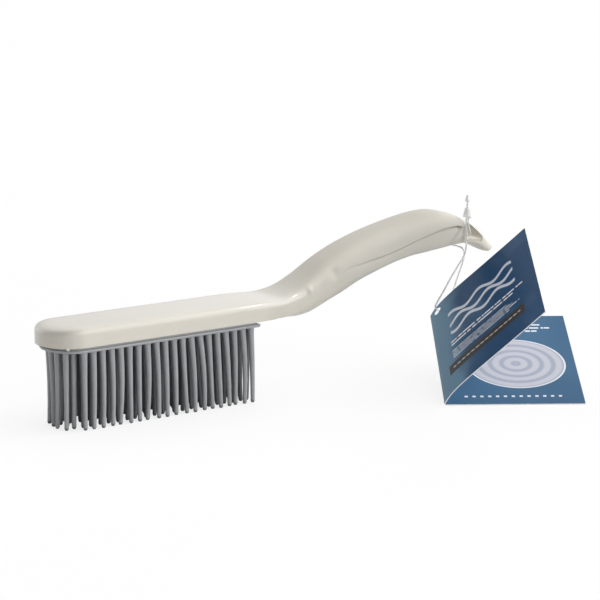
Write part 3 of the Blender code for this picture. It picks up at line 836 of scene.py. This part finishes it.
def side_angle(z, top, middle, bottom, half, upper, lower):
    if top - middle < POINT_SIZE:
        return 0.0
    if z >= middle:
        return math.asin(min(1.0, ((z - middle) / (top - middle)) ** (upper / 2)))
    if middle - bottom < POINT_SIZE:
        return -POINT_SIZE
    return -math.asin(min(1.0, ((middle - z) / (middle - bottom)) ** (lower / 2)))


def spread(points, count):
    """The line through the points again, at count even steps of length and turning together."""
    line = np.array(points)
    leg = np.diff(line, axis=0)
    length = np.linalg.norm(leg, axis=1) + 1e-9
    heading = np.unwrap(np.arctan2(leg[:, 1], leg[:, 0]))
    turning = np.abs(np.gradient(heading))
    weight = length / length.sum() + TURNING_WEIGHT * turning / (turning.sum() + 1e-6)
    run = np.concatenate([[0], np.cumsum(weight)])
    at = np.linspace(0, run[-1], count)
    return np.stack([np.interp(at, run, line[:, i]) for i in range(2)], axis=1)


def half_section(along):
    """(y, z) from the top's middle line to the underside's middle line."""
    section = section_at(along)
    top, middle, bottom, half = section[:4]
    line = character_height(along, middle)
    tall = top - bottom
    rounding = min(LIP_ROUND, 0.1 * tall)
    upper_end = side_angle(line + rounding, *section)
    lower_start = side_angle(line - rounding, *section) if line - rounding > bottom else -POINT_SIZE
    over = [side_point(a, *section) for a in np.linspace(math.pi / 2, upper_end, FINE)]
    under = [side_point(a, *section) for a in np.linspace(lower_start, -math.pi / 2, FINE)]

    def sunk(y, z, share):
        depth = recess_depth(along, z) * share
        excess = y - (GRIP_WIDTH / 2 - depth)
        return y - depth / (depth + PANEL_BLEND) * (excess + math.sqrt(excess**2 + PANEL_BLEND**2)) / 2

    panel = [(sunk(y, z, 1.0), z) for y, z in under]
    first, last = over[-1], panel[0]
    lip = []
    for k in range(1, LIP_ROWS - 1):
        t = k / (LIP_ROWS - 1)
        inward = (last[0] - first[0]) * ease(t, 0.15, 0.95)
        lip.append((first[0] + inward, first[1] + (last[1] - first[1]) * t))
    return np.vstack([spread(over, TOP_ROWS), lip, spread(panel, LOW_ROWS)])


print("rows in a half section", len(half_section(0.5 * OVERALL_LENGTH)))

# %% [markdown]
# The stations lie close together where the form changes fast. Around the nose they fan out from one point of
# the top, so the wall is as fine there as along the sides.

# %% The grid of the moulding
NOSE_STEPS = 26
BEND_START = 100 * MM
LIP_ZONE = 168 * MM
TAIL_ZONE = 262 * MM
NECK_STEPS = (16, 92)
GRIP_STEPS = 124
TAIL_STEPS = 30
NOSE_DROOP = 1.1 * MM


def nose_ring(share):
    """One line of the nose, from the middle of its top down the wall and in along the underside."""
    turn = share * math.pi / 2
    ring = []
    for y, z in half_section(NOSE_LENGTH):
        out = y / (HEAD_WIDTH / 2)
        z -= NOSE_DROOP * out**4 * math.cos(turn) ** 2 * max(0.0, z - RIM_Z) / HEAD_HEIGHT
        x = NOSE_X + NOSE_LENGTH * (1 - out * math.cos(turn))
        ring.append((x, out * HEAD_WIDTH / 2 * math.sin(turn), z))
    return ring


def stations():
    bounds = (NOSE_LENGTH, BEND_START, LIP_ZONE, TAIL_ZONE)
    fine = zip(bounds, bounds[1:], (*NECK_STEPS, GRIP_STEPS))
    places = [start + (end - start) * i / steps for start, end, steps in fine for i in range(steps)]
    tail = OVERALL_LENGTH - TAIL_ZONE
    turns = [i * math.pi / 2 / TAIL_STEPS for i in range(TAIL_STEPS + 1)]
    return places + [OVERALL_LENGTH - tail * math.cos(turn) for turn in turns]


rings = [nose_ring(i / NOSE_STEPS) for i in range(NOSE_STEPS)]
rings += [[(NOSE_X + along, y, z) for y, z in half_section(along)] for along in stations()]
surface = np.array(rings)
print("grid", surface.shape[:2])

# %% The moulding's skin
SKIN_MERGE = 0.004 * MM
MIRROR_MERGE = 0.01 * MM

columns, rows = surface.shape[0] - 1, surface.shape[1] - 1
bpy.ops.mesh.primitive_grid_add(x_subdivisions=columns, y_subdivisions=rows, size=2, location=(0, 0, 0))
body = bpy.context.object
body.name = "moulded_body"
for vertex in body.data.vertices:
    i = round((vertex.co.x + 1) / 2 * columns)
    j = round((vertex.co.y + 1) / 2 * rows)
    vertex.co = surface[i][j]
edit(body)
bpy.ops.mesh.select_all(action="SELECT")
bpy.ops.mesh.remove_doubles(threshold=SKIN_MERGE)
done(body)


def settled(piece, kind, **settings):
    """A modifier that is added and applied at once."""
    bpy.ops.object.select_all(action="DESELECT")
    piece.select_set(True)
    bpy.context.view_layer.objects.active = piece
    step = piece.modifiers.new("step", kind)
    for key, value in settings.items():
        setattr(step, key, value)
    bpy.ops.object.modifier_apply(modifier=step.name)
    piece.select_set(False)
    return piece


settled(body, "MIRROR", use_axis=(False, True, False), merge_threshold=MIRROR_MERGE)
print("skin", len(body.data.vertices), "vertices")

# %% [markdown]
# Mouldings carry small marks of their making. This one has a nub and a shallow dent on the near side of the
# neck. Each is a soft swelling of the skin, so that the gloss bends over it as it does on the real one.

# %% The marks on the neck
MOULD_MARKS = [
    ((10.7 * MM, 53.1 * MM), 1.4 * MM, 0.90 * MM),
    ((27.0 * MM, 59.9 * MM), 2.6 * MM, -0.75 * MM),
]

for vertex in body.data.vertices:
    if vertex.co.y >= 0:
        continue
    for (x, z), width, height in MOULD_MARKS:
        away = ((vertex.co.x - x) ** 2 + (vertex.co.z - z) ** 2) / width**2
        vertex.co.y -= height * math.exp(-away)
edit(body)
bpy.ops.mesh.select_all(action="SELECT")
bpy.ops.mesh.normals_make_consistent(inside=False)
done(body)
print("marks", len(MOULD_MARKS))

# %% [markdown]
# Under the head the moulding is open: the rubber pad's plug fills a pocket with walls of about two
# millimetres. The pocket is a stack of the outline again, taken out of the skin.

# %% The pocket
WALL = 2.3 * MM
POCKET_TOP = 48.7 * MM
OVERRUN = 2 * MM


def cut(piece, cutter, operation="DIFFERENCE"):
    """Takes the cutter out of the piece, or joins it on, and removes the cutter."""
    settled(piece, "BOOLEAN", object=cutter, operation=operation, solver="EXACT")
    bpy.data.objects.remove(cutter)
    return piece


cut(body, stack("pocket", [outline(WALL, PAD_LENGTH, z) for z in (RIM_Z - OVERRUN, POCKET_TOP)]))
print("with its pocket", len(body.data.vertices), "vertices")

# %% [markdown]
# The eye is a three-cornered hole through the tail. Its mouth is rounded over on both sides. The cutter is a
# stack of eye outlines from side to side, and near each side it flares out along the surface, so one cut
# leaves the rounded mouth too.

# %% The eye's outline
EYE_CORNER_SHARES = [(0.9155, 0.576), (0.9735, 0.516), (0.9155, 0.848)]
EYE_RADIUS = 1.8 * MM
EYE_ARC_STEPS = 8
EYE_EDGE_STEPS = 7


def eye_outline():
    """(x, z) points round the eye with the outward direction at each."""
    corners = [Vector((NOSE_X + x * OVERALL_LENGTH, RIM_Z + z * HANDLE_RISE)) for x, z in EYE_CORNER_SHARES]
    round_it = []
    for i, corner in enumerate(corners):
        before = (corners[i - 1] - corner).normalized()
        after = (corners[(i + 1) % 3] - corner).normalized()
        half_angle = before.angle(after) / 2
        centre = corner + (before + after).normalized() * (EYE_RADIUS / math.sin(half_angle))
        start = (corner + before * (EYE_RADIUS / math.tan(half_angle)) - centre).normalized()
        turn = math.pi - 2 * half_angle
        for j in range(EYE_ARC_STEPS + 1):
            away = Matrix.Rotation(turn * j / EYE_ARC_STEPS, 2) @ start
            round_it.append((centre + away * EYE_RADIUS, away))
    points = []
    for (a, away), (b, _) in zip(round_it, round_it[1:] + round_it[:1]):
        points.append((a, away))
        if (b - a).length > EYE_RADIUS:
            points += [(a.lerp(b, j / EYE_EDGE_STEPS), away) for j in range(1, EYE_EDGE_STEPS)]
    return points


def half_width_at(x, z):
    """How far the moulding reaches to the side at a place of its side view."""
    top, middle, bottom, half, upper, lower = section_at(x - NOSE_X)
    reach, power = (top - middle, upper) if z > middle else (middle - bottom, lower)
    return half * max(0.0, 1 - (abs(z - middle) / reach) ** power) ** (1 / power)


# %% The eye's cutter
EYE_FLARE = 0.9 * MM
EYE_FLARE_ANGLES = (0, 20, 40, 58)
EYE_REACH = 2.5 * MM
EYE_REACH_FLARE = 0.7


def eye_rings():
    """Outlines of the cutter from the near side to the far side."""
    angles = [math.radians(a) for a in EYE_FLARE_ANGLES]
    flares = [(EYE_FLARE * (1 - math.sin(a)), EYE_FLARE * (1 - math.cos(a))) for a in angles]
    depth, out = flares[-1]
    last = angles[-1]
    flares.append((-EYE_REACH, out + (depth + EYE_REACH) * math.tan(last) * EYE_REACH_FLARE))
    found = []
    for side, levels in ((-1, reversed(flares)), (1, flares)):
        for depth, out in levels:
            ring = []
            for place, away in eye_outline():
                x, z = place + away * out
                y = side * (max(half_width_at(*place), 2 * EYE_FLARE) - depth)
                ring.append((x, y, z))
            found.append(exact(ring))
    return found


cut(body, stack("eye", eye_rings()))
print("with its eye", len(body.data.vertices), "vertices")

# %% [markdown]
# Two small hooks under the rim, one on each side of the nose, hold the pad's flange. Each is a small block,
# narrower at its foot so that it snaps over the rubber.

# %% The hooks
HOOK_X = 7.6 * MM
HOOK_SIZE = Vector((2.6, 1.1, 1.0)) * MM
HOOK_FOOT = 0.35
HOOK_OVERLAP = 0.5 * MM
HOOK_INSET = 0.4 * MM

for side in (-1, 1):
    y = side * (outline_half_width(HOOK_X, 0) - HOOK_SIZE.y / 2 - HOOK_INSET)
    top = RIM_Z + HOOK_OVERLAP
    middle = top - (HOOK_SIZE.z + HOOK_OVERLAP) / 2
    bpy.ops.mesh.primitive_cube_add(size=1, location=(NOSE_X + HOOK_X, y, middle))
    hook = bpy.context.object
    hook.scale = (HOOK_SIZE.x, HOOK_SIZE.y, HOOK_SIZE.z + HOOK_OVERLAP)
    bpy.ops.object.transform_apply(location=True, rotation=True, scale=True)
    bm = edit(hook)
    foot = [face for face in bm.faces if face.normal.z < -0.5]
    foot[0].select = True
    bmesh.update_edit_mesh(hook.data)
    bpy.ops.transform.resize(value=(HOOK_FOOT, 1, 1), center_override=(NOSE_X + HOOK_X, y, RIM_Z))
    done(hook)
    cut(body, hook, "UNION")

cream = cream_plastic()
dressed(smooth(body, 38), cream, "brush", "body", "brush_body")
print("moulding", len(body.data.polygons), "faces")

# %% [markdown]
# The tag is a folded card in two leaves. The cover springs up from the crease and bows a little, because
# coated card keeps the set of its fold. A leaf starts as a grid with its UV map, is bent along its width,
# gets the card's thickness, and is then moved to its place in the mesh itself.

# %% Sizes of the tag
TAG_WIDTH = 71 * MM
TAG_HEIGHT = 94.6 * MM
CARD_THICKNESS = 0.5 * MM
CREASE_GAP = 0.15 * MM
TAG_HOLE_RADIUS = 2.5 * MM
TAG_HOLE_FROM_SPINE = 6.5 * MM
TAG_HOLE_FROM_TOP = 5.2 * MM
TAG_FOOT = Vector((47.7, -76.9, 0.6)) * MM
COVER_ARCH = 2.0 * MM
TAG_TURN = math.radians(34.2)
TAG_TILT = math.radians(15.9)
TAG_OPENING = math.radians(47.3)
COVER_CURVE_SHARES = [
    (0.00, 0.00),
    (0.03, 0.35),
    (0.07, 0.68),
    (0.12, 0.90),
    (0.20, 1.00),
    (0.30, 0.95),
    (0.42, 0.78),
    (0.55, 0.57),
    (0.70, 0.35),
    (0.85, 0.15),
    (1.00, 0.00),
]


def leaf_matrix(opening):
    """From a leaf's own width, height and outward axes to its place."""
    lean = math.cos(TAG_TILT)
    up = Vector((lean * math.sin(TAG_TURN), lean * math.cos(TAG_TURN), math.sin(TAG_TILT)))
    level = Vector((math.cos(TAG_TURN), -math.sin(TAG_TURN), 0))
    across = math.cos(opening) * level + math.sin(opening) * level.cross(up)
    turn = Matrix((across, up, across.cross(up))).transposed().to_4x4()
    turn.translation = TAG_FOOT
    return turn


print("tag foot", [round(c, 4) for c in TAG_FOOT])

# %% [markdown]
# Print on coated card is flat colour with a thin gloss over it. The cover goes from steel blue to navy in
# clouds, with a dark band, three pale waves and a few rows of small dashes. These are plain shapes of this
# script's own, and say nothing. Distances are in millimetres on the card, from its UV map: a shape's left,
# right, foot and top, and for rows of dashes their pitch and thickness too.

# %% Print helpers
EDGE = 0.15


def card_place(finish):
    """Millimetres across and up a leaf."""
    u, v, _ = finish.split(finish.node("TexCoord", {}, {}, output="UV"))
    return u * (TAG_WIDTH / MM), v * (TAG_HEIGHT / MM)


def between(finish, value, low, high, soft=EDGE):
    return finish.ramp(value, low - soft, low + soft) * (1 - finish.ramp(value, high - soft, high + soft))


def block(finish, x, y, left, right, foot, top):
    """A rectangle's mask."""
    return between(finish, x, left, right) * between(finish, y, foot, top)


def dash_rows(finish, x, y, left, right, foot, top, pitch, thick):
    """Rows of short dashes with small gaps, each row with an end of its own."""
    row = ((y - foot) / pitch).floor()
    in_row = (y - foot).remainder(pitch)
    run = x * 0.55 + row * 17.3
    gaps = finish.node("TexNoise", {"noise_dimensions": "1D"}, {"W": run, "Scale": 1.0, "Detail": 1.0})
    ends = finish.node("TexWhiteNoise", {"noise_dimensions": "1D"}, {"W": row + 3.0})
    line = between(finish, in_row, pitch * 0.2, pitch * 0.2 + thick, EDGE * 0.8)
    ink = finish.ramp(gaps, 0.36, 0.40) * line
    short = 1 - finish.ramp(x + ends * 9.0, right - EDGE, right + EDGE)
    return ink * short * block(finish, x, y, left, right, foot, top)


# %% Printed cover
STEEL_BLUE = (0.098, 0.220, 0.330)
NAVY = (0.000, 0.052, 0.150)
BAND_BROWN = (0.030, 0.024, 0.020)
PALE_INK = (0.62, 0.66, 0.76)
WHITE_INK = (0.80, 0.83, 0.88)
COVER_BAND = (8.0, 60.0, 16.0, 25.0)
BAND_STITCHES = (11.0, 57.0, 20.2, 20.9)
STITCH_PITCH = 3.2
WAVE_LEVELS = (72.0, 64.0, 56.0)
WAVE_SPAN = (13.0, 58.0)
WAVE_TURNS = 0.32
WAVE_HEIGHT = 2.6
WAVE_HALF = 1.5
WIDE_ROWS = (12.0, 62.0, 41.0, 47.0, 3.0, 1.3)
FINE_ROWS = (12.0, 58.0, 28.5, 37.5, 2.2, 0.8)


def printed_cover():
    finish = Finish("printed_cover", STEEL_BLUE, Roughness=0.30, IOR=1.16)
    x, y = card_place(finish)
    uv = finish.node("TexCoord", {}, {}, output="UV")
    clouds = finish.noise(uv, 2.6, 2.0)
    inner = finish.ramp(x, 3.0, 26.0)
    shade = finish.ramp(clouds * 0.7 + inner * 0.45, 0.42, 0.80)
    colour = finish.blend(shade, STEEL_BLUE, NAVY)
    band = block(finish, x, y, *COVER_BAND)
    colour = finish.blend(band * 0.96, colour, BAND_BROWN)
    stitches = block(finish, x, y, *BAND_STITCHES) * finish.ramp(x.remainder(STITCH_PITCH), 0.9, 1.1)
    waves = 0.0
    for level in WAVE_LEVELS:
        crest = (x * WAVE_TURNS + level).wave() * WAVE_HEIGHT + level
        waves = between(finish, y - crest, -WAVE_HALF, WAVE_HALF) + waves
    waves = waves * between(finish, x, *WAVE_SPAN)
    colour = finish.blend(waves.least(1.0), colour, PALE_INK)
    rows = dash_rows(finish, x, y, *WIDE_ROWS) + dash_rows(finish, x, y, *FINE_ROWS)
    colour = finish.blend((rows + stitches).least(1.0), colour, WHITE_INK)
    fibre = finish.noise(uv, 420.0, 3.0)
    finish.bump(fibre, 0.00001, 0.5)
    return finish.surface(Base_Color=colour, Roughness=0.22 + fibre * 0.12)


# %% [markdown]
# Inside, the lower leaf is a plain blue with a pale disc of ripples, as round a drop on still water. Sines of
# the distance from the middle give the rings. A row of dots runs along the foot, and dashes along the top.

# %% Printed inside
INSIDE_BLUE = (0.038, 0.130, 0.252)
RIPPLE_PALE = (0.560, 0.570, 0.640)
RIPPLE_SHADE = (0.330, 0.370, 0.480)
RIPPLE_CENTRE = (40.0, 42.0)
RIPPLE_RADIUS = 25.0
RIPPLE_RIM = 0.9
RIPPLE_TURNS = 1.05
TOP_DASHES = (12.0, 62.0, 76.0, 90.0, 3.5, 1.5)
FOOT_DOTS = (10.0, 61.0, 7.0, 8.6)
DOT_PITCH = 4.0


def printed_inside():
    finish = Finish("printed_inside", INSIDE_BLUE, Roughness=0.30, IOR=1.25)
    x, y = card_place(finish)
    uv = finish.node("TexCoord", {}, {}, output="UV")
    across, up = x - RIPPLE_CENTRE[0], y - RIPPLE_CENTRE[1]
    away = finish.node("Math", {"operation": "SQRT"}, {0: across * across + up * up})
    rings = finish.ramp((away * RIPPLE_TURNS).wave(), -0.4, 0.9)
    ripples = finish.blend(rings * 0.8, RIPPLE_PALE, RIPPLE_SHADE)
    tone = finish.ramp(finish.noise(uv, 1.8, 1.0), 0.3, 0.7) * 0.25
    colour = finish.blend(tone, INSIDE_BLUE, NAVY)
    colour = finish.blend(between(finish, away, -1.0, RIPPLE_RADIUS + RIPPLE_RIM), colour, WHITE_INK)
    colour = finish.blend(between(finish, away, -1.0, RIPPLE_RADIUS), colour, ripples)
    dashes = dash_rows(finish, x, y, *TOP_DASHES)
    dots = block(finish, x, y, *FOOT_DOTS) * finish.ramp(x.remainder(DOT_PITCH), 2.2, 2.5)
    colour = finish.blend((dashes + dots).least(1.0), colour, WHITE_INK)
    fibre = finish.noise(uv, 420.0, 3.0)
    finish.bump(fibre, 0.00001, 0.5)
    return finish.surface(Base_Color=colour, Roughness=0.26 + fibre * 0.12)


# %% [markdown]
# The cut edges and the unprinted sides show the card itself: white, matt and faintly fibrous.

# %% Bare card
CARD_WHITE = (0.80, 0.80, 0.79)
CARD_SHADE = (0.68, 0.68, 0.67)


def bare_card():
    finish = Finish("bare_card", CARD_WHITE, Roughness=0.7)
    fibre = finish.noise(finish.place(), 900.0, 4.0)
    finish.bump(fibre, 0.00003, 0.6)
    return finish.surface(Base_Color=finish.blend(finish.ramp(fibre, 0.35, 0.7), CARD_WHITE, CARD_SHADE))


# %% The leaves
LEAF_COLUMNS = 48
LEAF_ROWS = 36
HOLE_SIDES = 40
edge_card = bare_card()


def leaf_sheet(name, arch):
    """A grid over the leaf, bowed across its width, in the leaf's own axes."""
    bpy.ops.mesh.primitive_grid_add(
        x_subdivisions=LEAF_COLUMNS,
        y_subdivisions=LEAF_ROWS,
        size=1,
        location=(0, 0, 0),
    )
    piece = bpy.context.object
    piece.name = name
    for vertex in piece.data.vertices:
        across = vertex.co.x + 0.5
        bow = smooth_table(COVER_CURVE_SHARES, across)[1] * arch
        vertex.co = (CREASE_GAP + across * (TAG_WIDTH - CREASE_GAP), (vertex.co.y + 0.5) * TAG_HEIGHT, bow)
    return piece


def leaf(name, face, opening, arch, outward, with_hole):
    piece = leaf_sheet(name, arch)
    for finish in (face, edge_card, edge_card):
        piece.data.materials.append(finish)
    settled(
        piece,
        "SOLIDIFY",
        thickness=CARD_THICKNESS,
        offset=outward,
        material_offset=1,
        material_offset_rim=2,
    )
    if with_hole:
        bpy.ops.mesh.primitive_cylinder_add(
            vertices=HOLE_SIDES,
            radius=TAG_HOLE_RADIUS,
            depth=10 * COVER_ARCH,
            location=(TAG_HOLE_FROM_SPINE, TAG_HEIGHT - TAG_HOLE_FROM_TOP, 0),
        )
        punch = bpy.context.object
        for finish in (face, edge_card, edge_card):
            punch.data.materials.append(finish)
        punch.data.polygons.foreach_set("material_index", [2] * len(punch.data.polygons))
        cut(piece, punch)
    piece.data.transform(leaf_matrix(opening))
    smooth(piece, 30)
    return piece


cover = leaf("folded_tag_cover", printed_cover(), TAG_OPENING, COVER_ARCH, 1, True)
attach(cover, "cover")
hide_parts("tag_cover")
back = leaf("folded_tag_back", printed_inside(), 0.0, 0.0, -1, False)
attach(back, "back")
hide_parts("tag_back")
print("leaves", len(cover.data.polygons), len(back.data.polygons), "faces")

# %% [markdown]
# A cord is more than a curved piece: its length is fixed, and so are its thickness, its stiffness and what
# ends it. Here that is the fastener, and both of its pieces ride on the loop's body.

# %% Where the loop leaves its socket
print("loop exit", [round(float(c), 4) for c in loop_path[0]])

# %% [markdown]
# The floor is plain and nearly white. Part of what the camera sees of it is plain white and part is lit, so
# the brush keeps a light shadow as on a photographer's table. It throws back a little less light than it
# shows, which leaves the undersides in shade.

# %% Floor
FLOOR_SIZE = 14.0
FLOOR_WHITE = (0.93, 0.93, 0.93)
FLOOR_BOUNCE = (0.76, 0.76, 0.76)
PLAIN_SHARE = 0.78

bpy.ops.mesh.primitive_plane_add(size=FLOOR_SIZE, location=(0, 0, 0))
floor = bpy.context.object
floor.name = "floor"
floor_finish = Finish("floor_white", FLOOR_WHITE, Roughness=0.6)
seen = floor_finish.node("LightPath", {}, {}, output="Is Camera Ray")
plain = floor_finish.node("Emission", {}, {"Color": (1, 1, 1, 1), "Strength": 1.0})
floor_finish.surface(Base_Color=floor_finish.blend(seen, FLOOR_BOUNCE, FLOOR_WHITE))
lit = Wire(floor_finish, floor_finish.shader.outputs[0])
mixed = floor_finish.node("MixShader", {}, {0: seen * PLAIN_SHARE, 1: lit, 2: plain})
output = next(node for node in floor_finish.tree.nodes if node.type == "OUTPUT_MATERIAL")
floor_finish.feed(output.inputs["Surface"], mixed)
floor.data.materials.append(floor_finish.material)

# %% [markdown]
# The light is a studio's. A broad soft glow comes from the right, one from high behind lifts the floor and
# the head, one past the handle's end draws a bright edge down each finger, and a weak one far left draws the
# nose's edge. Little else comes from the left, so the nose stays in a soft shade. The camera itself sees
# plain white. Of two small lamps, one above the handle draws the white line on the head's shoulder, and one
# shines into the eye.

# %% The surround
SURROUND_LEVEL = 0.13
GLOWS = [
    ((0.62, -0.78, 0.08), 2, 2.75),
    ((0.30, 0.30, 0.90), 4, 0.95),
    ((0.93, 0.32, 0.05), 6, 2.45),
    ((-0.42, 0.88, 0.22), 5, 1.50),
]

world = bpy.data.worlds.new("surround")
bpy.context.scene.world = world
world.use_nodes = True
sky = Nodes(world.node_tree)
direction = sky.node("TexCoord", {}, {}, output="Generated")
level = SURROUND_LEVEL
for toward, power, amount in GLOWS:
    glow = Vector(toward).normalized()
    facing = sky.node("VectorMath", {"operation": "DOT_PRODUCT"}, {0: direction, 1: glow}, output="Value")
    level = sky.node("Math", {"operation": "POWER"}, {0: facing.most(0.0), 1: power}) * amount + level
seen = sky.node("LightPath", {}, {}, output="Is Camera Ray")
surround = sky.tree.nodes["Background"]
surround.inputs["Color"].default_value = (1, 1, 1, 1)
sky.feed(surround.inputs["Strength"], level * (1 - seen) + seen)
print("glows", len(GLOWS))

# %% The lamps
LAMPS = [
    ("shoulder_lamp", (0.165, -0.078, 0.312), (-0.245, 0.061, -0.262), (0.100, 0.018), 0.018, 44),
    ("eye_lamp", (0.110, 0.032, 0.085), (0.014, -0.032, -0.016), (0.012, 0.012), 0.0010, 40),
]

for name, place, toward, (length, width), power, spread in LAMPS:
    turn = Vector(toward).to_track_quat("-Z", "Y").to_euler()
    bpy.ops.object.light_add(type="AREA", location=place, rotation=turn)
    lamp = bpy.context.object
    lamp.name = name
    lamp.data.shape = "RECTANGLE"
    lamp.data.size = length
    lamp.data.size_y = width
    lamp.data.energy = power
    lamp.data.spread = math.radians(spread)
    lamp.visible_camera = False
bpy.context.scene.view_settings.view_transform = "Standard"
print("lamps", len(LAMPS))
